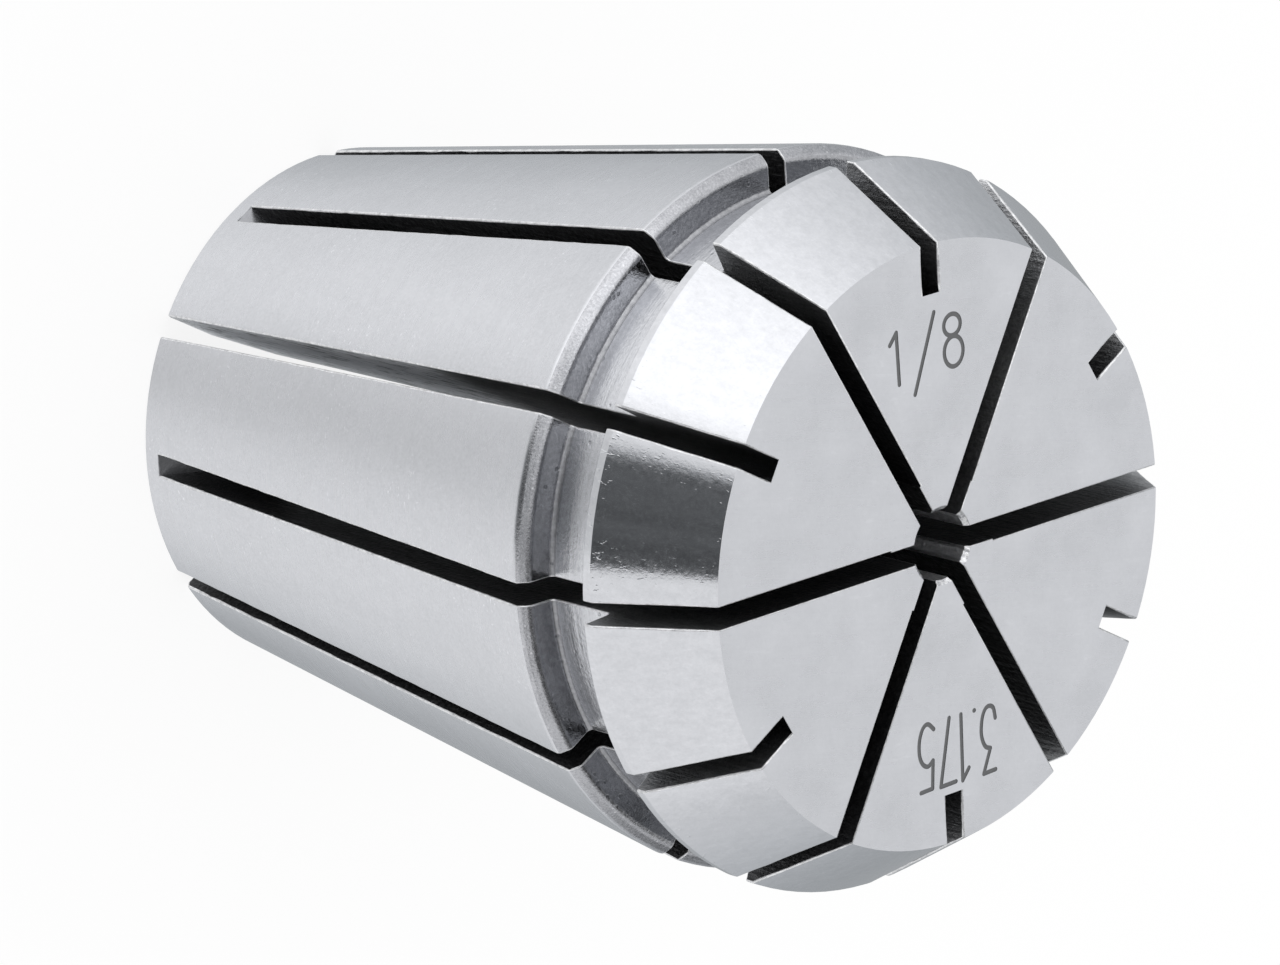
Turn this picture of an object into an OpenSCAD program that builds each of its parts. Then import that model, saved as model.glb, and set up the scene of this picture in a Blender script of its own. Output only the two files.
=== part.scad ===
// Spring collet for a tool holder, made from one piece of hardened steel.
// It stands on its narrow rear end, with its axis along +Z and its front face on top.
// Twelve saw cuts, six from the front and six from the rear in turn, let it close on a shank.

/* [Body] */
// Length from the rear end to the front face, mm
overall_length = 40; // [34:0.5:50]
// Angle of the long seating taper, from the axis, degrees
seat_angle = 8; // [6:0.5:10]
// Height of the small bevel round the rear edge, mm
rear_bevel = 0.2; // [0.1:0.05:0.5]

/* [Head] */
// Largest diameter of the head, mm
head_diameter = 33; // [28:0.5:42]
// Angle of the nose cone, from the axis, degrees
nose_angle = 30; // [25:1:35]
// Length of the nose cone, mm
nose_length = 4.94; // [4:0.1:6]
// Width of the plain land behind the nose cone, mm
land_width = 0.47; // [0.3:0.05:1]
// Lean of the head's back wall, from square, degrees
back_lean = 8; // [0:1:12]

/* [Extraction groove] */
// Depth of the groove below the head, mm
groove_depth = 1.77; // [1.2:0.05:2.4]
// Width of the groove at its floor, mm
groove_width = 3.64; // [2.6:0.1:4.4]
// Radius in the two corners of the groove, mm
groove_corner = 0.25; // [0.1:0.05:0.5]
// Width of the bevel between the taper and the groove's rear wall, mm
groove_bevel = 0.46; // [0.1:0.02:0.5]
// Step from the head down to the big end of the taper, mm
body_step = 0.03; // [0.02:0.01:0.2]

/* [Bore] */
// Diameter of the gripping bore, mm
bore_diameter = 3.175; // [2.5:0.005:6]
// Length of the gripping bore, mm
grip_length = 16; // [12:0.5:20]
// Width of the bevel round the bore's mouth, mm
mouth_bevel = 0.2; // [0.1:0.05:0.4]
// Diameter of the relief bored from the rear, mm
relief_diameter = 15.5; // [11:0.1:17]
// Angle of the relief's conical end, from the axis, degrees
relief_end_angle = 59; // [50:1:70]
// Extra radius of the flared rear mouth of the relief, mm
flare_width = 1.5; // [0.5:0.1:2.5]
// Length of the flared rear mouth, mm
flare_length = 3.2; // [2:0.1:5]

/* [Saw cuts] */
// Cuts from the front, and the same number from the rear
cut_count = 6; // [4:1:8]
// Width of each cut, mm
cut_width = 1; // [0.8:0.05:1.2]
// Diameter of the saw that leaves the curved end of each cut, mm
saw_diameter = 50; // [42:1:80]
// Steel left between the end of a front cut and the rear end, mm
front_cut_stop = 1.2; // [0.8:0.1:3]
// How far a rear cut runs in from the edge of the front face, mm
rear_cut_reach = 2.23; // [1.5:0.1:3]
// Radius inside which the front cuts are narrower, mm
step_radius = 3.15; // [2.8:0.05:4]
// How much narrower the front cuts are near the bore, mm
step_width = 0.08; // [0.04:0.02:0.14]

/* [Hidden] */
round_fn = 180;
corner_fn = 32;
steel = [0.76, 0.77, 0.79];
clear = 1;

head_r = head_diameter / 2;
nose_z = overall_length - nose_length;
face_r = head_r - nose_length * tan(nose_angle);
back_z = nose_z - land_width;

floor_r = head_r - groove_depth;
groove_front_z = back_z - groove_depth * tan(back_lean);
groove_rear_z = groove_front_z - groove_width;
front_corner_z = groove_front_z + groove_corner * (tan(back_lean) - 1 / cos(back_lean));
front_corner_r = floor_r + groove_corner * (1 - sin(back_lean));

seat_r = head_r - body_step;
seat_z = groove_rear_z - groove_bevel;
rear_r = seat_r - seat_z * tan(seat_angle);
bevel_r = rear_r + rear_bevel * tan(seat_angle);

bore_r = bore_diameter / 2;
grip_z = overall_length - grip_length;
relief_r = relief_diameter / 2;
relief_z = grip_z - (relief_r - bore_r) / tan(relief_end_angle);

cut_floor = bore_r / 2;
saw_r = saw_diameter / 2;
saw_x = cut_floor + saw_r;
stop_r = rear_r + front_cut_stop * tan(seat_angle);
front_saw_z = front_cut_stop + sqrt(saw_r * saw_r - pow(saw_x - stop_r, 2));
reach_r = face_r - rear_cut_reach;
rear_saw_z = overall_length - sqrt(saw_r * saw_r - pow(saw_x - reach_r, 2));
cut_pitch = 360 / cut_count;

// Half section of the turned blank, with its groove.
module blank_section() {
    polygon([
        [0, 0],
        [rear_r - rear_bevel, 0],
        [bevel_r, rear_bevel],
        [seat_r, seat_z],
        [seat_r - groove_bevel, groove_rear_z],
        [floor_r, groove_rear_z],
        [floor_r, groove_front_z],
        [head_r, back_z],
        [head_r, nose_z],
        [face_r, overall_length],
        [0, overall_length]
    ]);
}

// Steel that the rounded tool leaves in the two corners of the groove.
module groove_corners() {
    difference() {
        translate([floor_r - groove_corner, groove_rear_z - groove_corner])
            square([2 * groove_corner, 2 * groove_corner]);
        translate([floor_r + groove_corner, groove_rear_z + groove_corner])
            circle(r = groove_corner, $fn = corner_fn);
    }
    difference() {
        polygon([
            [floor_r - groove_corner, front_corner_z],
            [front_corner_r, front_corner_z],
            [front_corner_r, groove_front_z + (front_corner_r - floor_r) * tan(back_lean)],
            [floor_r - groove_corner, groove_front_z]
        ]);
        translate([floor_r + groove_corner, front_corner_z])
            circle(r = groove_corner, $fn = corner_fn);
    }
}

module blank() {
    rotate_extrude($fn = round_fn)
        union() {
            blank_section();
            groove_corners();
        }
}

// Gripping bore, its bevelled mouth and the wide relief bored from the rear.
module bore() {
    rotate_extrude($fn = round_fn)
        polygon([
            [0, -clear],
            [relief_r + flare_width, -clear],
            [relief_r + flare_width, 0],
            [relief_r, flare_length],
            [relief_r, relief_z],
            [bore_r, grip_z],
            [bore_r, overall_length - mouth_bevel],
            [bore_r + mouth_bevel, overall_length],
            [bore_r + mouth_bevel, overall_length + clear],
            [0, overall_length + clear]
        ]);
}

// Disc of the saw at the end of its travel.
module saw(z) {
    translate([saw_x, -cut_width / 2, z])
        rotate([-90, 0, 0])
            cylinder(r = saw_r, h = cut_width, $fn = round_fn);
}

// One cut from the front, stepped narrower on one side near the bore.
module front_cut() {
    difference() {
        union() {
            saw(front_saw_z);
            translate([cut_floor, -cut_width / 2, front_saw_z])
                cube([head_r + clear, cut_width, overall_length]);
        }
        translate([0, -cut_width / 2 - clear, -clear])
            cube([step_radius, clear + step_width, overall_length + 3 * clear]);
    }
}

// One cut from the rear, ending in the saw's curve just inside the front face's edge.
module rear_cut() {
    saw(rear_saw_z);
    translate([cut_floor, -cut_width / 2, -clear])
        cube([head_r + clear, cut_width, rear_saw_z + clear]);
}

module collet() {
    color(steel)
        difference() {
            blank();
            bore();
            for (i = [0 : cut_count - 1]) {
                rotate([0, 0, i * cut_pitch])
                    front_cut();
                rotate([0, 0, (i + 0.5) * cut_pitch])
                    rear_cut();
            }
        }
}

collet();
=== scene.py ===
import random
from math import cos, hypot, inf, pi, radians, sin, sqrt, tan

import bmesh
import bpy
from mathutils import Matrix, Vector


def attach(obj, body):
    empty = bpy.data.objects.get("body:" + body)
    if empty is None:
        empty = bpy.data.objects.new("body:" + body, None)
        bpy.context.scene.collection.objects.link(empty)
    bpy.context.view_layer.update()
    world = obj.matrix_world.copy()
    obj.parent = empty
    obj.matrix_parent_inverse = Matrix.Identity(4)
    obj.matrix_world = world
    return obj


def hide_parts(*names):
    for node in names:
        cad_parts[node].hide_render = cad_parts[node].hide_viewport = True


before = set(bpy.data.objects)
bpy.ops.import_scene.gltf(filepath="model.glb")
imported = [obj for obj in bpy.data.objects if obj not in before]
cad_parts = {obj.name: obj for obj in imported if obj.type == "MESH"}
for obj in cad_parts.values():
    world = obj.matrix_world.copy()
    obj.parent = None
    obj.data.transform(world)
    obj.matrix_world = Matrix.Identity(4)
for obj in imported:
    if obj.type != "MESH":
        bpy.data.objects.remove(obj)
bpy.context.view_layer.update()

# Lengths are in millimetres until a piece is finished, when it is scaled to metres.
MM = 0.001

# Sizes of the collet, as its part source has them.
LENGTH = 40.0
HEAD_R = 16.5
NOSE_Z = 35.06
NOSE_ANGLE = radians(30)
FACE_R = HEAD_R - (LENGTH - NOSE_Z) * tan(NOSE_ANGLE)
BACK_Z = 34.59
BACK_LEAN_DEGREES = 8
BACK_LEAN = radians(BACK_LEAN_DEGREES)
FLOOR_R = 14.73
GROOVE_WIDTH = 3.64
GROOVE_FRONT_Z = BACK_Z - (HEAD_R - FLOOR_R) * tan(BACK_LEAN)
GROOVE_REAR_Z = GROOVE_FRONT_Z - GROOVE_WIDTH
GROOVE_CORNER = 0.25
GROOVE_BEVEL = 0.46
SEAT_R = 16.47
SEAT_Z = GROOVE_REAR_Z - GROOVE_BEVEL
SEAT_ANGLE = radians(8)
SEAT_SLOPE = tan(SEAT_ANGLE)
REAR_R = SEAT_R - SEAT_Z * SEAT_SLOPE
REAR_BEVEL = 0.2
BORE_R = 1.5875
MOUTH_BEVEL = 0.2
GRIP_Z = 24.0
RELIEF_R = 7.75
RELIEF_END_ANGLE = radians(59)
RELIEF_Z = GRIP_Z - (RELIEF_R - BORE_R) / tan(RELIEF_END_ANGLE)
FLARE_WIDTH = 1.5
FLARE_LENGTH = 3.2
CUTS = 6
CUT_HALF = 0.5
CUT_FLOOR = BORE_R / 2
SAW_R = 25.0
SAW_X = CUT_FLOOR + SAW_R
FRONT_STOP = 1.2
FRONT_SAW_Z = FRONT_STOP + sqrt(SAW_R**2 - (SAW_X - REAR_R - FRONT_STOP * SEAT_SLOPE) ** 2)
REAR_REACH = 2.23
REAR_SAW_Z = LENGTH - sqrt(SAW_R**2 - (SAW_X - FACE_R + REAR_REACH) ** 2)
STEP_R = 3.15
STEP_HALF = 0.42

# How far a cutting shape reaches past the steel.
OUTSIDE = 1.0


class Wire:
    """A value in a node tree, which expressions can use as a number."""

    def __init__(self, net, socket):
        self.net, self.socket = net, socket

    def _math(self, operation, *values):
        return self.net.add("ShaderNodeMath", {"operation": operation}, values)

    def __add__(self, other):
        return self._math("ADD", self, other)

    def __radd__(self, other):
        return self._math("ADD", other, self)

    def __sub__(self, other):
        return self._math("SUBTRACT", self, other)

    def __rsub__(self, other):
        return self._math("SUBTRACT", other, self)

    def __mul__(self, other):
        return self._math("MULTIPLY", self, other)

    def __rmul__(self, other):
        return self._math("MULTIPLY", other, self)

    def __truediv__(self, other):
        return self._math("DIVIDE", self, other)

    def __rtruediv__(self, other):
        return self._math("DIVIDE", other, self)

    def __mod__(self, other):
        return self._math("FLOORED_MODULO", self, other)

    def __pow__(self, other):
        return self._math("POWER", self, other)

    def __abs__(self):
        return self._math("ABSOLUTE", self)

    def whole(self):
        return self._math("FLOOR", self)

    def larger(self, other):
        return self._math("MAXIMUM", self, other)

    def rise(self, low, high):
        """0 below low, 1 above high, smooth between them."""
        return self.net.add(
            "ShaderNodeMapRange",
            {"interpolation_type": "SMOOTHSTEP"},
            {"Value": self, "From Min": low, "From Max": high},
        )


class Net:
    """A node tree, made by naming each node's type, settings and values."""

    def __init__(self, tree):
        self.tree = tree

    @staticmethod
    def socket(sockets, key):
        """A socket by its number, or the enabled one by its name or identifier."""
        if isinstance(key, int):
            return sockets[key]
        return next(s for s in sockets if s.enabled and key in (s.name, s.identifier))

    def add(self, kind, settings=None, values=(), out=0):
        """Adds a node and gives the output that out names; a list of values goes to one socket."""
        node = self.tree.nodes.new(kind)
        for name, value in (settings or {}).items():
            setattr(node, name, value)
        pairs = values.items() if isinstance(values, dict) else enumerate(values)
        for key, value in pairs:
            target = self.socket(node.inputs, key)
            for one in value if isinstance(value, list) else [value]:
                if isinstance(one, Wire):
                    self.tree.links.new(one.socket, target)
                else:
                    target.default_value = one
        return Wire(self, self.socket(node.outputs, out)) if node.outputs else node

    def other(self, wire, out):
        """Another output of the node that a wire comes from."""
        return Wire(self, self.socket(wire.socket.node.outputs, out))


# Camera

CAMERA_AZIMUTH = 157.1495
CAMERA_ELEVATION = 45.2148
CAMERA_ROLL = -103.4576
CAMERA_DISTANCE = 356.926
CAMERA_LENS = 219.638
SENSOR_WIDTH = 36
NEAREST_SEEN = 0.01
AIM = (0.564, -0.664, 20.0)


def direction(azimuth, elevation):
    """Unit vector towards an azimuth and an elevation in degrees."""
    a, e = radians(azimuth), radians(elevation)
    return Vector((cos(e) * cos(a), cos(e) * sin(a), sin(e)))


def make_camera():
    """Camera at the photograph's viewing angle."""
    camera = bpy.data.cameras.new("camera")
    camera.sensor_fit = "HORIZONTAL"
    camera.sensor_width = SENSOR_WIDTH
    camera.lens = CAMERA_LENS
    camera.clip_start = NEAREST_SEEN
    holder = bpy.data.objects.new("camera", camera)
    bpy.context.scene.collection.objects.link(holder)
    forward = -direction(CAMERA_AZIMUTH, CAMERA_ELEVATION)
    level = forward.cross(Vector((0, 0, 1))).normalized()
    roll = radians(CAMERA_ROLL)
    up = level.cross(forward) * cos(roll) + level * sin(roll)
    turn = Matrix((forward.cross(up), up, -forward)).transposed().to_4x4()
    turn.translation = (Vector(AIM) - forward * CAMERA_DISTANCE) * MM
    holder.matrix_world = turn
    bpy.context.scene.camera = holder


# Shape of the steel

# How finely curves are divided.
CORNER_STEPS = 6
SAW_STEPS = 36
OUTER_FACETS = 120
BORE_FACETS = 60
FIRST_BORE_FACET = radians(1.6)

# How much of the saw's edge is drawn, in degrees.
SAW_SWEEP = 72

# Points nearer to each other than this become one.
MERGE_DISTANCE = 1e-4


def arc(centre, radius, start, end, steps):
    """Points along an arc, from one angle to another in degrees."""
    angles = [radians(start + (end - start) * i / steps) for i in range(steps + 1)]
    return [(centre[0] + radius * cos(a), centre[1] + radius * sin(a)) for a in angles]


def body_section():
    """Half section of the turned blank, from the axis at the rear to the axis at the front."""
    corner_x = FLOOR_R + GROOVE_CORNER
    front_z = GROOVE_FRONT_Z + GROOVE_CORNER * (tan(BACK_LEAN) - 1 / cos(BACK_LEAN))
    return [
        (0, 0),
        (REAR_R - REAR_BEVEL, 0),
        (REAR_R + REAR_BEVEL * SEAT_SLOPE, REAR_BEVEL),
        (SEAT_R, SEAT_Z),
        (SEAT_R - GROOVE_BEVEL, GROOVE_REAR_Z),
        *arc((corner_x, GROOVE_REAR_Z + GROOVE_CORNER), GROOVE_CORNER, 270, 180, CORNER_STEPS),
        *arc((corner_x, front_z), GROOVE_CORNER, 180, 90 + BACK_LEAN_DEGREES, CORNER_STEPS),
        (HEAD_R, BACK_Z),
        (HEAD_R, NOSE_Z),
        (FACE_R, LENGTH),
        (0, LENGTH),
    ]


def bore_section():
    """Half section of what is bored out of the blank."""
    return [
        (0, -OUTSIDE),
        (RELIEF_R + FLARE_WIDTH, -OUTSIDE),
        (RELIEF_R + FLARE_WIDTH, 0),
        (RELIEF_R, FLARE_LENGTH),
        (RELIEF_R, RELIEF_Z),
        (BORE_R, GRIP_Z),
        (BORE_R, LENGTH - MOUTH_BEVEL),
        (BORE_R + MOUTH_BEVEL, LENGTH),
        (BORE_R + MOUTH_BEVEL, LENGTH + OUTSIDE),
        (0, LENGTH + OUTSIDE),
    ]


def new_object(name, points, edges=(), faces=()):
    """Object in the scene with a mesh of these points, edges and faces."""
    mesh = bpy.data.meshes.new(name)
    mesh.from_pydata(points, edges, faces)
    made = bpy.data.objects.new(name, mesh)
    bpy.context.scene.collection.objects.link(made)
    return made


def section_line(name, section):
    """Open line in the x-z plane through a section's points."""
    points = [(x, 0, z) for x, z in section]
    return new_object(name, points, [(i, i + 1) for i in range(len(points) - 1)])


def slab(name, outline, walls):
    """Closed solid between y walls[0] and walls[1] of an outline in the x-z plane."""
    n = len(outline)
    points = [(x, y, z) for y in walls for x, z in outline]
    faces = [tuple(range(n)), tuple(reversed(range(n, 2 * n)))]
    faces += [(i, n + i, n + (i + 1) % n, (i + 1) % n) for i in range(n)]
    return new_object(name, points, (), faces)


def point_out(piece):
    """Turns the faces of a closed mesh outwards."""
    work = bmesh.new()
    work.from_mesh(piece.data)
    bmesh.ops.recalc_face_normals(work, faces=work.faces)
    work.to_mesh(piece.data)
    work.free()
    return piece


def saw_path(saw_z, end_z):
    """Outline of the steel that one pass of the saw removes: its curved end, then straight on."""
    far = HEAD_R + OUTSIDE
    sweep = -SAW_SWEEP if end_z < saw_z else SAW_SWEEP
    curve = arc((SAW_X, saw_z), SAW_R, 180, 180 + sweep, SAW_STEPS)
    curve = [(x, z) for x, z in curve if x < far]
    return curve + [(far, curve[-1][1]), (far, end_z), (CUT_FLOOR, end_z)]


def front_cutter():
    """Saw cut from the front, stepped narrower on one side near the bore."""
    outline = saw_path(FRONT_SAW_Z, LENGTH + OUTSIDE)
    outer = [p for p in outline if p[0] > STEP_R]
    start = outline.index(outer[0])
    before, after = outline[:start], outline[start + len(outer):]
    low = (STEP_R, FRONT_SAW_Z - sqrt(SAW_R**2 - (SAW_X - STEP_R) ** 2))
    high = (STEP_R, LENGTH + OUTSIDE)
    ring = before + [low] + outer + [high] + after
    wide = [low] + outer + [high]
    narrow = before + [low, high] + after
    n = len(ring)
    wide_at = {p: n + i for i, p in enumerate(wide)}
    narrow_at = {p: n + len(wide) + i for i, p in enumerate(narrow)}
    points = [(x, CUT_HALF, z) for x, z in ring]
    points += [(x, -CUT_HALF, z) for x, z in wide]
    points += [(x, -STEP_HALF, z) for x, z in narrow]
    faces = [tuple(range(n)), tuple(wide_at.values()), tuple(narrow_at.values())]
    faces.append((wide_at[low], wide_at[high], narrow_at[high], narrow_at[low]))
    for i in range(n):
        j = (i + 1) % n
        a, b = ring[i], ring[j]
        if a in wide_at and b in wide_at:
            past_step = [narrow_at[b]] if b == high else []
            onto_step = [narrow_at[a]] if a == low else []
            faces.append((i, j, *past_step, wide_at[b], wide_at[a], *onto_step))
        else:
            faces.append((i, j, narrow_at[b], narrow_at[a]))
    return point_out(new_object("front_cutter", points, (), faces))


def rear_cutter():
    """Saw cut from the rear."""
    outline = saw_path(REAR_SAW_Z, -OUTSIDE)
    return point_out(slab("rear_cutter", outline, (-CUT_HALF, CUT_HALF)))


# Marks on the front face

MARK_HALF = 0.105
MARK_DEPTH = 0.02
MARK_HEIGHT = 3.05
MARK_GAP = 0.38
MARK_LEAN = radians(-2)
MILLIMETRE_MARK = (0.37, -9.45)
STROKE_STEPS = 6
OVAL_STEPS = 40
CAP_STEPS = 8


def smooth_line(points):
    """Curve through the points of a stroke."""
    p = [Vector(q) for q in points]
    p = [p[0] * 2 - p[1]] + p + [p[-1] * 2 - p[-2]]
    line = []
    for a, b, c, d in zip(p, p[1:], p[2:], p[3:]):
        slope, bend, twist = c - a, a * 2 - b * 5 + c * 4 - d, b * 3 - a - c * 3 + d
        for i in range(STROKE_STEPS):
            t = i / STROKE_STEPS
            line.append((b * 2 + slope * t + bend * t**2 + twist * t**3) / 2)
    return line + [p[-2]]


def oval(centre, half_width, half_height):
    """Points round an upright ellipse."""
    angles = [2 * pi * i / OVAL_STEPS for i in range(OVAL_STEPS)]
    return [Vector((centre[0] + half_width * cos(a), centre[1] + half_height * sin(a))) for a in angles]


def prism(name, loops):
    """Closed solid that stands through the front face over a loop, or between a pair of loops."""
    low, high = LENGTH - MARK_DEPTH, LENGTH + OUTSIDE
    points, faces, starts = [], [], []
    for loop in loops:
        starts.append(len(points))
        points += [(p.x, p.y, low) for p in loop] + [(p.x, p.y, high) for p in loop]
    n = len(loops[0])
    sides = [(i, (i + 1) % n) for i in range(n)]
    for start in starts:
        faces += [(start + i, start + j, start + n + j, start + n + i) for i, j in sides]
    if len(loops) == 1:
        faces += [tuple(range(n)), tuple(range(n, 2 * n))]
    else:
        for lift in (0, n):
            a, b = starts[0] + lift, starts[1] + lift
            faces += [(a + i, a + j, b + j, b + i) for i, j in sides]
    return point_out(new_object(name, points, (), faces))


def stroke(name, line, closed):
    """Engraved stroke of even width along a line, with round ends unless it is closed."""
    n = len(line)
    sides = ([], [])
    for i, p in enumerate(line):
        ahead = line[(i + 1) % n] if closed or i < n - 1 else p
        behind = line[i - 1] if closed or i > 0 else p
        along = (ahead - behind).normalized()
        aside = Vector((-along.y, along.x)) * MARK_HALF
        sides[0].append(p + aside)
        sides[1].append(p - aside)
    if closed:
        return prism(name, sides)

    def cap(tip, before):
        along = (tip - before).normalized() * MARK_HALF
        aside = Vector((-along.y, along.x))
        angles = [pi * i / CAP_STEPS for i in range(1, CAP_STEPS)]
        return [tip + aside * cos(a) + along * sin(a) for a in angles]

    ring = sides[0] + cap(line[-1], line[-2]) + sides[1][::-1] + cap(line[0], line[1])
    return prism(name, [ring])


def bent(points):
    """Straight lines from point to point, kept apart so that the corners stay full."""
    return [[Vector(a), Vector(b)] for a, b in zip(points, points[1:])]


def marks():
    """Size of the bore, as a fraction of an inch on one side and in millimetres on the other."""
    straight = bent([(-2.67, 9.66), (-2.245, 10.15), (-2.19, 7.81)]) + bent([(0.10, 10.56), (-1.26, 7.15)])
    lines = [(line, False) for line in straight]
    lines += [(oval((1.18, 9.77), 0.51, 0.48), True), (oval((1.215, 8.565), 0.58, 0.68), True)]

    three_bowl = smooth_line([(0.36, 1.95), (0.66, 1.82), (0.86, 1.45), (0.92, 1.0), (0.83, 0.42),
                              (0.62, 0.07), (0.36, 0.0), (0.13, 0.16), (0.02, 0.62)])
    five_bowl = smooth_line([(0.08, 1.72), (0.4, 1.93), (0.74, 1.74), (0.92, 1.28), (0.9, 0.66),
                             (0.68, 0.14), (0.36, 0.0), (0.0, 0.3)])
    three = bent([(0.05, 3.0), (0.8, 3.05), (0.36, 1.95)]) + [three_bowl]
    point = bent([(0, 0.0), (0.02, 0.0)])
    one = bent([(0, 2.55), (0.4, 3.05), (0.45, 0)])
    seven = bent([(0, 3.0), (0.95, 3.05), (0.36, 0)])
    five = bent([(0.86, 3.05), (0.14, 3.0), (0.08, 1.72)]) + [five_bowl]
    signs = [(0.95, three), (0.02, point), (0.45, one), (0.95, seven), (0.95, five)]
    width = sum(sign_width for sign_width, _ in signs) + MARK_GAP * (len(signs) - 1)
    centre = Vector(MILLIMETRE_MARK)
    turn = Matrix.Rotation(pi + MARK_LEAN, 2)
    start = 0
    for sign_width, strokes in signs:
        shift = Vector((start - width / 2, -MARK_HEIGHT / 2))
        lines += [([centre + turn @ (p + shift) for p in line], False) for line in strokes]
        start += sign_width + MARK_GAP
    return [stroke(f"mark_{i}", line, closed) for i, (line, closed) in enumerate(lines)]


def turning(net, section, facets, first):
    """Surface that a section line makes when it is turned about the Z axis."""
    count = net.add(
        "GeometryNodeAttributeDomainSize", {"component": "MESH"}, {"Geometry": section}, "Point Count")
    grid = net.add("GeometryNodeMeshGrid", None, {"Vertices X": facets + 1, "Vertices Y": count})
    index = net.add("GeometryNodeInputIndex")
    place = net.add(
        "GeometryNodeSampleIndex",
        {"data_type": "FLOAT_VECTOR", "domain": "POINT"},
        {"Geometry": section, "Value": net.add("GeometryNodeInputPosition"), "Index": index % count},
    )
    angle = first + (index / count).whole() * (2 * pi) / facets
    turned = net.add(
        "ShaderNodeVectorRotate", {"rotation_type": "Z_AXIS"}, {"Vector": place, "Angle": angle})
    moved = net.add("GeometryNodeSetPosition", None, {"Geometry": grid, "Position": turned})
    return net.add("GeometryNodeMergeByDistance", None, {"Geometry": moved, "Distance": MERGE_DISTANCE})


def ring_of_cuts(net, cutter, count, offset):
    """A saw cut repeated round the axis, offset as a share of the pitch."""
    pitch = 2 * pi / count
    index = net.add("GeometryNodeInputIndex")
    spin = net.add("ShaderNodeCombineXYZ", None, {"Z": (index + offset) * pitch})
    points = net.add("GeometryNodePoints", None, {"Count": count})
    shape = net.add("GeometryNodeObjectInfo", None, {"Object": cutter}, "Geometry")
    return net.add(
        "GeometryNodeInstanceOnPoints", None, {"Points": points, "Instance": shape, "Rotation": spin})


def machining_tree():
    """Turns the blank and the bore, saws the cuts and engraves the marks."""
    tree = bpy.data.node_groups.new("turned_and_sawn", "GeometryNodeTree")
    face = tree.interface
    face.new_socket("Geometry", in_out="INPUT", socket_type="NodeSocketGeometry")
    for name in ("Bore section", "Front cutter", "Rear cutter"):
        face.new_socket(name, in_out="INPUT", socket_type="NodeSocketObject")
    face.new_socket("Marks", in_out="INPUT", socket_type="NodeSocketCollection")
    for name in ("Outer facets", "Bore facets", "Cuts"):
        face.new_socket(name, in_out="INPUT", socket_type="NodeSocketInt")
    face.new_socket("First bore facet", in_out="INPUT", socket_type="NodeSocketFloat")
    face.new_socket("Steel", in_out="INPUT", socket_type="NodeSocketMaterial")
    face.new_socket("Geometry", in_out="OUTPUT", socket_type="NodeSocketGeometry")
    net = Net(tree)
    given = net.add("NodeGroupInput")

    def take(name):
        return net.other(given, name)

    blank = turning(net, take("Geometry"), take("Outer facets"), 0.0)
    bore_line = net.add("GeometryNodeObjectInfo", None, {"Object": take("Bore section")}, "Geometry")
    bore = turning(net, bore_line, take("Bore facets"), take("First bore facet"))
    front = ring_of_cuts(net, take("Front cutter"), take("Cuts"), 0.0)
    rear = ring_of_cuts(net, take("Rear cutter"), take("Cuts"), 0.5)
    marked = net.add(
        "GeometryNodeCollectionInfo", {"transform_space": "RELATIVE"},
        {"Collection": take("Marks"), "Separate Children": True})
    cut = net.add(
        "GeometryNodeMeshBoolean",
        {"operation": "DIFFERENCE", "solver": "MANIFOLD"},
        {"Mesh 1": blank, "Mesh 2": [bore, front, rear, marked]},
        "Mesh",
    )
    real = net.add("GeometryNodeRealizeInstances", None, {"Geometry": cut})
    done = net.add("GeometryNodeSetMaterial", None, {"Geometry": real, "Material": take("Steel")})
    net.add("NodeGroupOutput", None, {"Geometry": done})
    return tree


def machined_steel(steel):
    """Mesh of the collet, in millimetres, with sharp edges."""
    body = section_line("body_section", body_section())
    bore, front, rear = section_line("bore_section", bore_section()), front_cutter(), rear_cutter()
    strokes = marks()
    group = bpy.data.collections.new("marks")
    bpy.context.scene.collection.children.link(group)
    for one in strokes:
        bpy.context.scene.collection.objects.unlink(one)
        group.objects.link(one)
    tree = machining_tree()
    modifier = body.modifiers.new("machining", "NODES")
    modifier.node_group = tree
    inputs = {s.name: s.identifier for s in tree.interface.items_tree if s.in_out == "INPUT"}
    values = {
        "Bore section": bore,
        "Front cutter": front,
        "Rear cutter": rear,
        "Marks": group,
        "Outer facets": OUTER_FACETS,
        "Bore facets": BORE_FACETS,
        "Cuts": CUTS,
        "First bore facet": FIRST_BORE_FACET,
        "Steel": steel,
    }
    for name, value in values.items():
        modifier[inputs[name]] = value
    body.update_tag()
    bpy.context.view_layer.update()
    graph = bpy.context.evaluated_depsgraph_get()
    mesh = bpy.data.meshes.new_from_object(body.evaluated_get(graph))
    for helper in (body, bore, front, rear, *strokes):
        bpy.data.objects.remove(helper)
    bpy.data.collections.remove(group)
    return mesh


# Finish of the steel

ZONES = ("seat", "nose", "face", "bevel", "shoulder", "groove", "sawn", "runout", "bore", "mark", "edge")

# Zone of each segment of the body's section.
BODY_ZONES = (
    "face", "seat", "seat", "bevel",
    *["shoulder"] * (1 + CORNER_STEPS),
    *["groove"] * (1 + CORNER_STEPS),
    "shoulder", "nose", "nose", "face",
)

# Limits by which the faces are sorted into zones.
ON_SURFACE = 0.05
FACES_ACROSS = 0.1
MARK_MARGIN = 0.2

# Angles between faces below which they are joined, and above which an edge is broken or stays sharp.
SAME_PLANE = radians(0.4)
BREAKS_FROM = radians(18)
SHARP_FROM = radians(25)

# Widths of the small bevels on the edges.
EDGE_BREAK = 0.22
CUT_EDGE = 0.11
GROOVE_CUT_EDGE = 0.07
BORE_EDGE = 0.04
OTHER_EDGE = 0.03
NEAR_BORE_R = STEP_R + 0.3
BREAK_SEGMENTS = 2

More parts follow.
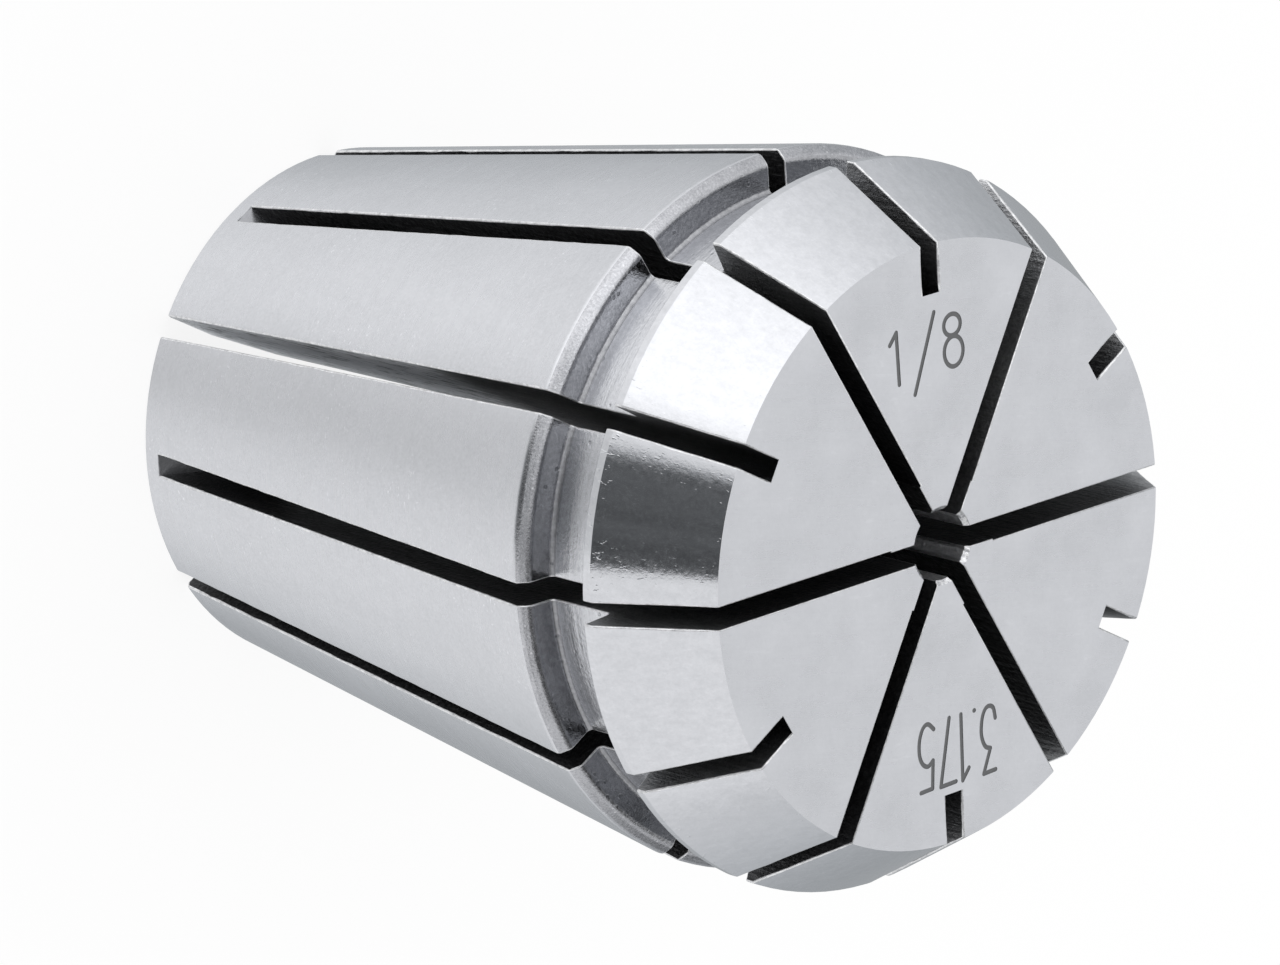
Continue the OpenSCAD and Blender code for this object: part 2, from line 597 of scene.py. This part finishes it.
# The edges of the cuts are filed in pieces of uneven width, each a share of the full one.
PIECE_LENGTH = 0.5
SPLIT_AT = 0.45
LEAST_SHARE = 0.55
FILING_SEED = 5


def near_line(section, r, z):
    """Distance from the nearest segment of a section line, and that segment's number."""
    best = (inf, 0)
    for i, (a, b) in enumerate(zip(section, section[1:])):
        ab = (b[0] - a[0], b[1] - a[1])
        t = ((r - a[0]) * ab[0] + (z - a[1]) * ab[1]) / (ab[0] ** 2 + ab[1] ** 2)
        t = min(1, max(0, t))
        best = min(best, (hypot(r - a[0] - t * ab[0], z - a[1] - t * ab[1]), i))
    return best


def across(place, normal):
    """How far a surface faces round the axis, from 0 to 1."""
    return abs(normal.y * place.x - normal.x * place.y) / max(hypot(place.x, place.y), 1e-6)


def zone_of(centre, normal, body, bore):
    """Zone of a face of the machined steel, from its centre and the way it faces."""
    r, z = hypot(centre.x, centre.y), centre.z
    if LENGTH - 1.5 * MARK_DEPTH < z < LENGTH - MARK_DEPTH / 4 and STEP_R < r < FACE_R - MARK_MARGIN:
        return "mark"
    if across(centre, normal) > FACES_ACROSS:
        return "sawn"
    off, segment = near_line(body, r, z)
    if off < ON_SURFACE:
        return BODY_ZONES[segment]
    return "bore" if near_line(bore, r, z)[0] < ON_SURFACE else "runout"


def edge_break(edge):
    """Width of the small bevel on an edge, or 0 where it has none."""
    pair = {ZONES[f.material_index] for f in edge.link_faces}
    if "mark" in pair or pair <= {"sawn", "runout"} or pair == {"nose", "face"}:
        return 0
    if not edge.is_convex or edge.calc_face_angle() < BREAKS_FROM:
        return 0
    if "bore" in pair or min(hypot(v.co.x, v.co.y) for v in edge.verts) < NEAR_BORE_R:
        return BORE_EDGE
    if "sawn" in pair:
        return CUT_EDGE if pair & {"seat", "nose", "face"} else GROOVE_CUT_EDGE
    return EDGE_BREAK if "bevel" in pair else OTHER_EDGE


def divided(edge, length):
    """Splits an edge into uneven pieces of about a length."""
    pieces, count = [edge], round(edge.calc_length() / length)
    while len(pieces) < count:
        longest = max(pieces, key=lambda e: e.calc_length())
        pieces.append(bmesh.utils.edge_split(longest, longest.verts[0], SPLIT_AT)[0])
    return pieces


def share_finish(mesh):
    """Gives each broken edge that isn't the edge of a cut the finish of the surface beside it."""
    edge = ZONES.index("edge")
    work = bmesh.new()
    work.from_mesh(mesh)
    for f in work.faces:
        if f.material_index == edge and across(f.calc_center_median(), f.normal) < FACES_ACROSS:
            beside = [g.material_index for e in f.edges for g in e.link_faces if g.material_index != edge]
            if beside:
                mesh.polygons[f.index].material_index = beside[0]
    work.free()


def finished(mesh, materials, name):
    """Joins flat faces, gives each zone its finish, breaks the edges and scales the mesh to metres."""
    body, bore = body_section(), bore_section()
    work = bmesh.new()
    work.from_mesh(mesh)
    for f in work.faces:
        f.material_index = ZONES.index(zone_of(f.calc_center_median(), f.normal, body, bore))
    bmesh.ops.dissolve_limit(
        work, angle_limit=SAME_PLANE, verts=work.verts, edges=work.edges, delimit={"MATERIAL"})
    weight = work.edges.layers.float.new("bevel_weight_edge")
    for f in work.faces:
        f.smooth = True
    filing = random.Random(FILING_SEED)
    for e in list(work.edges):
        width = edge_break(e)
        e.smooth = width > 0 or e.calc_face_angle() < SHARP_FROM
        for piece in divided(e, PIECE_LENGTH) if width == CUT_EDGE else [e]:
            share = filing.uniform(LEAST_SHARE, 1.0) if width == CUT_EDGE else 1.0
            piece[weight] = width * share / EDGE_BREAK
    mesh.materials.clear()
    for zone in ZONES:
        mesh.materials.append(materials[zone])
    work.to_mesh(mesh)
    work.free()
    piece = bpy.data.objects.new(name, mesh)
    bpy.context.scene.collection.objects.link(piece)
    bevel = piece.modifiers.new("broken_edges", "BEVEL")
    bevel.limit_method = "WEIGHT"
    bevel.width = EDGE_BREAK
    bevel.segments = BREAK_SEGMENTS
    bevel.use_clamp_overlap = False
    bevel.harden_normals = True
    bevel.material = ZONES.index("edge")
    graph = bpy.context.evaluated_depsgraph_get()
    done = bpy.data.meshes.new_from_object(piece.evaluated_get(graph))
    piece.modifiers.remove(bevel)
    share_finish(done)
    done.transform(Matrix.Scale(MM, 4))
    piece.data = done
    return piece


# Materials

STEEL_DARK = (0.515, 0.525, 0.55)
STEEL_LIGHT = (0.775, 0.785, 0.82)

# Turn of a stretched highlight, as a share of a circle, and direction of the lines on the face.
GRAIN_TURN = 0.25
FACE_GRAIN = radians(-13)

# Azimuths of the cuts whose walls get more or less painted light than the others: painted light on the rim
# and wall of the first, on the wall of the second, towards the rear end of the third, and less painted
# light on the rim of the last.
PAINTED_RIM_LIGHT_CUT = 0
PAINTED_WALL_LIGHT_CUT = 60
REAR_PAINTED_LIGHT_CUT = 150
PAINTED_SHADE_RIM_CUT = -120


class Finish(Net):
    """A material's nodes, with the place on its piece in millimetres ready to use."""

    def __init__(self, name):
        self.material = bpy.data.materials.new(name)
        self.material.use_nodes = True
        super().__init__(self.material.node_tree)
        self.tree.nodes.clear()
        self.place = self.add(
            "ShaderNodeVectorMath",
            {"operation": "SCALE"},
            {0: self.add("ShaderNodeTexCoord", out="Object"), "Scale": 1 / MM},
        )
        parts = self.add("ShaderNodeSeparateXYZ", None, [self.place])
        self.x, self.y, self.z = parts, self.other(parts, 1), self.other(parts, 2)

    def point(self, x, y, z):
        """A place from its three values."""
        return self.add("ShaderNodeCombineXYZ", None, (x, y, z))

    def stretched(self, x, y, z):
        """The place with each of its values multiplied."""
        return self.add("ShaderNodeVectorMath", {"operation": "MULTIPLY"}, (self.place, (x, y, z)))

    def noise(self, where, scale=1.0, detail=2.0, rough=0.5):
        """Noise from about -1 to 1."""
        made = self.add(
            "ShaderNodeTexNoise", None,
            {"Vector": where, "Scale": scale, "Detail": detail, "Roughness": rough}, "Fac")
        return made * 2 - 1

    def azimuth(self):
        """Angle round the Z axis in degrees, from -180 to 180."""
        return self.add("ShaderNodeMath", {"operation": "ARCTAN2"}, (self.y, self.x)) * (180 / pi)

    def specks(self, where, scale, share):
        """1 in a few small spots, 0 elsewhere."""
        cells = self.add(
            "ShaderNodeTexVoronoi", {"feature": "F1"}, {"Vector": where, "Scale": scale}, "Distance")
        return 1 - cells.rise(share * 0.6, share)

    def tint(self, shade, dark, light):
        """A colour between dark and light."""
        return self.add(
            "ShaderNodeMix", {"data_type": "RGBA"},
            {"Factor_Float": shade, "A_Color": (*dark, 1), "B_Color": (*light, 1)}, "Result_Color")

    def metal(self, colour, roughness, height, depth, stretch=0.0):
        """Finishes the material; depth is the height of the grain in millimetres."""
        bump = self.add("ShaderNodeBump", None, {"Height": height, "Distance": depth * MM, "Strength": 1.0})
        shader = self.add("ShaderNodeBsdfPrincipled", None, {
            "Base Color": colour, "Metallic": 1.0, "Roughness": roughness, "Normal": bump,
            "Anisotropic": stretch, "Anisotropic Rotation": GRAIN_TURN,
        })
        self.add("ShaderNodeOutputMaterial", None, {"Surface": shader})
        return self.material


def ground_seat():
    f = Finish("ground_taper")
    lines = f.noise(f.stretched(0.25, 0.25, 3.0), 1.0, 3.0, 0.6)
    grain = f.noise(f.place, 6.0, 2.0, 0.6)
    peel = f.noise(f.place, 1.6, 2.0, 0.6)
    cloud = f.noise(f.stretched(0.35, 0.35, 0.12), 1.0, 2.0)
    patches = f.noise(f.place, 0.22).rise(-0.15, 0.35)
    # Glints: small flecks painted lighter in the colour, a painted highlight, and raised a little by the
    # bump.
    glints = f.noise(f.stretched(3.6, 3.6, 6.0), 1.0, 2.0, 0.6).rise(0.26, 0.46) * patches
    shade = 0.5 + lines * 0.08 + grain * 0.22 + peel * 0.12 + cloud * 0.14 + glints * 0.6
    return f.metal(f.tint(shade, STEEL_DARK, STEEL_LIGHT), 0.27 + lines * 0.03 + cloud * 0.03,
                   grain * 0.15 + glints * 0.25, 0.010, 0.6)


def ground_nose():
    f = Finish("ground_nose")
    streaks = f.noise(f.stretched(2.5, 2.5, 0.5), 1.0, 3.0, 0.6)
    grain = f.noise(f.place, 5.0, 3.0, 0.65)
    dashes = f.noise(f.stretched(4.5, 4.5, 1.3), 1.0, 2.0, 0.6).rise(0.22, 0.46)
    ends = 1 - f.z.rise(NOSE_Z + 0.1, NOSE_Z + 0.8) + f.z.rise(LENGTH - 0.5, LENGTH - 0.1)
    shade = 0.55 + streaks * 0.30 + grain * 0.25 + dashes * 0.10
    return f.metal(f.tint(shade, STEEL_DARK, STEEL_LIGHT), 0.13 + streaks * 0.04 + grain * 0.08,
                   grain * 0.17 + dashes * (0.2 + ends * 0.6), 0.007, 0.8)


def ground_face():
    f = Finish("ground_face")
    along = f.x * cos(FACE_GRAIN) + f.y * sin(FACE_GRAIN)
    aside = f.y * cos(FACE_GRAIN) - f.x * sin(FACE_GRAIN)
    lines = f.noise(f.point(along * 0.25, aside * 4.0, 0.0), 1.0, 3.0, 0.6)
    grain = f.noise(f.place, 4.0, 2.0, 0.6)
    cloud = f.noise(f.place, 0.3, 3.0, 0.6)
    strokes = f.noise(f.point(along * 0.9, aside * 3.0, 0.0), 1.0, 2.0).rise(0.2, 0.45)
    strokes = strokes * cloud.rise(-0.1, 0.4)
    shade = 0.50 + lines * 0.08 + grain * 0.10 + cloud * 0.36 + strokes * 0.16
    return f.metal(f.tint(shade, STEEL_DARK, STEEL_LIGHT), 0.28 + lines * 0.03 + cloud * 0.03,
                   lines + grain, 0.002)


def turned_bevel():
    f = Finish("turned_bevel")
    grain = f.noise(f.place, 9.0, 2.0, 0.7)
    wear = f.noise(f.place, 1.0, 2.0)
    # Glints: small spots painted lighter in the colour, a painted highlight.
    glints = f.specks(f.place, 3.2, 0.24) * f.noise(f.place, 0.7).rise(-0.1, 0.3)
    shade = 0.5 + grain * 0.6 + wear * 0.25 + glints * 0.7
    return f.metal(f.tint(shade, (0.28, 0.285, 0.305), (0.65, 0.655, 0.685)), 0.26 + grain * 0.08,
                   grain, 0.006, 0.2)


def turned_shoulder():
    f = Finish("turned_shoulder")
    grain = f.noise(f.place, 5.0, 3.0, 0.7)
    pits = f.specks(f.place, 1.7, 0.22) * f.noise(f.place, 0.6).rise(-0.1, 0.2)
    shade = 0.5 + grain * 0.7 - pits * 0.7
    fillet = f.z.rise(GROOVE_REAR_Z + 0.02, GROOVE_REAR_Z + 0.08)
    return f.metal(f.tint(shade, (0.25, 0.255, 0.27), (0.56, 0.565, 0.59)),
                   0.18 + grain * 0.05 + fillet * 0.25, grain - pits * 1.5, 0.010, 0.3)


def turned_groove():
    f = Finish("turned_groove")
    rings = f.noise(f.stretched(0.15, 0.15, 4.0), 1.0, 3.0, 0.6)
    grain = f.noise(f.place, 5.0, 3.0, 0.7)
    pits = f.specks(f.place, 1.5, 0.16) * f.noise(f.place, 0.6).rise(-0.1, 0.2)
    shade = 0.42 + grain * 0.5 + rings * 0.5 - pits * 0.8
    return f.metal(f.tint(shade, STEEL_DARK, STEEL_LIGHT), 0.22 + grain * 0.06,
                   grain * 0.6 + rings * 0.6 - pits, 0.010, 0.5)


def sawn_wall():
    """Walls of the cuts: nearly black, partly the dark sawn steel and partly painted shade deep in the
    narrow cuts, with painted light on their rims and on the cuts named above.
    """
    f = Finish("sawn_wall")
    lines = f.noise(f.stretched(4.0, 4.0, 0.3), 1.0, 3.0, 0.65)
    blots = f.noise(f.stretched(2.0, 2.0, 0.6), 1.0, 4.0, 0.7)
    grain = f.noise(f.place, 4.0, 2.0, 0.7)
    azimuth = f.azimuth()
    # Painted light on the wall of one cut, lighter towards its open rear end.
    painted_rear_light = (1 - f.z.rise(18, 24)) * (1 - abs(azimuth - REAR_PAINTED_LIGHT_CUT).rise(6, 9))
    out = (f.x * f.x + f.y * f.y) ** 0.5
    # Painted light near the outer rim of the cuts through the head, most on one cut and least on another.
    extra_painted_light = 1 - abs(azimuth - PAINTED_RIM_LIGHT_CUT).rise(8, 12)
    share = 0.2 + abs(azimuth - PAINTED_SHADE_RIM_CUT).rise(10, 14) * 0.8 + extra_painted_light * 0.9
    painted_rim_light = out.rise(11.0, HEAD_R) * f.z.rise(31, 34) * share
    # Painted light on the walls of two cuts, fading towards the bore.
    painted_wall_light = (1 - abs(azimuth - PAINTED_WALL_LIGHT_CUT).rise(12, 20)) * (0.4 + out.rise(2, 9) * 0.6)
    painted_wall_light = painted_wall_light + extra_painted_light * out.rise(4, 12) * 0.3
    shade = 0.05 + grain * 0.06 + painted_wall_light * (0.30 + grain * 0.15) + painted_rim_light * (0.35 + lines * 0.3)
    shade = shade + painted_rear_light * (0.95 + lines * 0.8 + blots * 2.0)
    # The dark end of the tint is partly the dark sawn steel and partly painted shade inside the narrow
    # cuts.
    return f.metal(f.tint(shade, (0.008, 0.008, 0.010), (0.80, 0.81, 0.83)), 0.5 + blots * 0.1,
                   lines + grain, 0.03)


def sawn_runout():
    f = Finish("sawn_runout")
    lines = f.noise(f.stretched(2.0, 2.0, 1.0), 1.0, 2.0)
    return f.metal(f.tint(0.5 + lines * 0.3, (0.24, 0.245, 0.26), (0.42, 0.425, 0.445)), 0.25, lines, 0.005)


def reamed_bore():
    f = Finish("reamed_bore")
    lines = f.noise(f.stretched(2.0, 2.0, 1.0), 2.0, 3.0, 0.7)
    burrs = f.noise(f.place, 5.0, 2.0, 0.7)
    mouth = f.z.rise(LENGTH - 0.3, LENGTH - 0.12)
    shade = 0.5 + lines * 0.6 + burrs * 0.4 + mouth * (burrs * 1.5 + 0.2)
    return f.metal(f.tint(shade, (0.42, 0.425, 0.45), (0.94, 0.945, 0.96)), 0.42 + burrs * 0.1,
                   lines + burrs, 0.03)


def worn_and_highlit_edge():
    f = Finish("worn_and_highlit_edge")
    # Lighter than the steel: partly wear on the broken edges, partly painted highlight lines along the
    # edges of the cuts.
    nicks = f.noise(f.place, 3.0, 3.0, 0.7)
    return f.metal(f.tint(0.6 + nicks * 1.2, (0.50, 0.505, 0.52), (0.92, 0.925, 0.94)), 0.45, nicks, 0.015)


def laser_mark():
    f = Finish("laser_mark")
    grain = f.noise(f.place, 12.0, 2.0)
    shade = 0.5 + grain * 0.5
    return f.metal(f.tint(shade, (0.17, 0.172, 0.176), (0.22, 0.223, 0.228)), 0.5, grain, 0.004)


# Floor, light and surroundings

FLOOR_HALF = 3.0
FLOOR_WHITE = 0.87
DOME_R = 1.5
DOME_SUBDIVISIONS = 4
WHITE = (1, 1, 1, 1)


def seen(net):
    """1 for what the camera, glossy and transmitted light see."""
    path = net.add("ShaderNodeLightPath", out="Is Camera Ray")
    return path.larger(net.other(path, "Is Glossy Ray")).larger(net.other(path, "Is Transmission Ray"))


def make_floor():
    """Floor that looks white, and keeps a little of the collet's shadow."""
    corners = [(-1, -1), (1, -1), (1, 1), (-1, 1)]
    points = [(x * FLOOR_HALF, y * FLOOR_HALF, 0) for x, y in corners]
    floor = new_object("floor", points, (), [(0, 1, 2, 3)])
    material = bpy.data.materials.new("white_floor")
    material.use_nodes = True
    net = Net(material.node_tree)
    net.tree.nodes.clear()
    matt = net.add("ShaderNodeBsdfDiffuse", None, {"Color": WHITE})
    white = net.add("ShaderNodeEmission", None, {"Color": WHITE, "Strength": 1.0})
    both = net.add("ShaderNodeMixShader", None, (seen(net) * FLOOR_WHITE, matt, white))
    net.add("ShaderNodeOutputMaterial", None, {"Surface": both})
    floor.data.materials.append(material)
    floor.visible_glossy = False


def make_world():
    """White room that lights the collet evenly."""
    world = bpy.data.worlds.new("white_room")
    world.use_nodes = True
    world.node_tree.nodes["Background"].inputs["Color"].default_value = WHITE
    bpy.context.scene.world = world


def make_surroundings():
    """Dome that the steel reflects: a white room, bright on one side, dark near the camera, grey behind."""
    work = bmesh.new()
    bmesh.ops.create_icosphere(work, subdivisions=DOME_SUBDIVISIONS, radius=DOME_R)
    mesh = bpy.data.meshes.new("surroundings")
    work.to_mesh(mesh)
    work.free()
    dome = bpy.data.objects.new("surroundings", mesh)
    bpy.context.scene.collection.objects.link(dome)
    f = Finish("room_light")
    way = f.add("ShaderNodeVectorMath", {"operation": "NORMALIZE"}, [f.place])
    height = f.add("ShaderNodeSeparateXYZ", None, [way], "Z")
    height = f.add("ShaderNodeMath", {"operation": "ARCSINE"}, [height]) * (180 / pi)
    azimuth = f.azimuth() % 360

    def side(centre, inner, outer):
        """1 within inner degrees of an azimuth, 0 beyond outer degrees."""
        away = abs((azimuth - (centre - 180)) % 360 - 180)
        return 1 - away.rise(inner, outer)

    # The lamps on the bright side, the grey side behind, and the shade near the floor.
    lamp = azimuth.rise(40, 130) * (1 - azimuth.rise(134, 148)) * height.rise(-66, 0) * 0.54
    lamp = lamp * (1 - height.rise(20, 40) * azimuth.rise(108, 134) * 0.9)
    lamp = lamp + side(98, 12, 30) * height.rise(15, 40) * 0.38
    back = side(332, 15, 95) * 0.55 + side(50, 15, 50) * 0.08
    back = back * (1 - height.rise(0, 40)) + height.rise(25, 45) * 0.05
    foot = side(158, 8, 38) * (1 - height.rise(-45, -15)) * 0.17

    # The dark gap with its ragged borders, then a dark cover above and a dark wall low on one side.
    ragged = f.noise(way, 14.0, 3.0, 0.6)
    near_side = azimuth.rise(150 + ragged * 6, 155 + ragged * 6)
    far_side = 1 - azimuth.rise(184 + ragged * 0.5, 185 + ragged * 0.5)
    gap = near_side * far_side * height.rise(-50, -20) * (1 - height.rise(28, 50))
    gap = gap * (0.88 + f.noise(way, 9.0, 4.0, 0.65) * 0.12)
    over = azimuth.rise(150, 225) * (1 - azimuth.rise(298, 332))
    over = over * height.rise(34, 46) * (1 - height.rise(72, 85)) * 0.90
    wall = side(290, 15, 40) * height.rise(-6, 2) * (1 - height.rise(14, 26)) * 0.62
    glow = (0.98 + lamp - back - foot) * (1 - gap) * (1 - over) * (1 - wall)
    cool = f.tint(back * 1.8 + gap, (1, 1, 1), (0.93, 0.97, 1.0))
    glowing = f.add("ShaderNodeVectorMath", {"operation": "SCALE"}, {0: cool, "Scale": glow})
    light = f.add("ShaderNodeEmission", None, {"Color": glowing, "Strength": 1.0})
    f.add("ShaderNodeOutputMaterial", None, {"Surface": light})
    f.material.cycles.emission_sampling = "NONE"
    mesh.materials.append(f.material)
    dome.visible_camera = dome.visible_diffuse = dome.visible_shadow = False
    dome.visible_transmission = dome.visible_volume_scatter = False


make_camera()
make_floor()
make_world()
make_surroundings()

finishes = {
    "seat": ground_seat(),
    "nose": ground_nose(),
    "face": ground_face(),
    "bevel": turned_bevel(),
    "shoulder": turned_shoulder(),
    "groove": turned_groove(),
    "sawn": sawn_wall(),
    "runout": sawn_runout(),
    "bore": reamed_bore(),
    "mark": laser_mark(),
    "edge": worn_and_highlit_edge(),
}
collet = finished(machined_steel(finishes["seat"]), finishes, "spring_collet")
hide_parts("collet")
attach(collet, "root")

bpy.context.scene.view_settings.view_transform = "Standard"
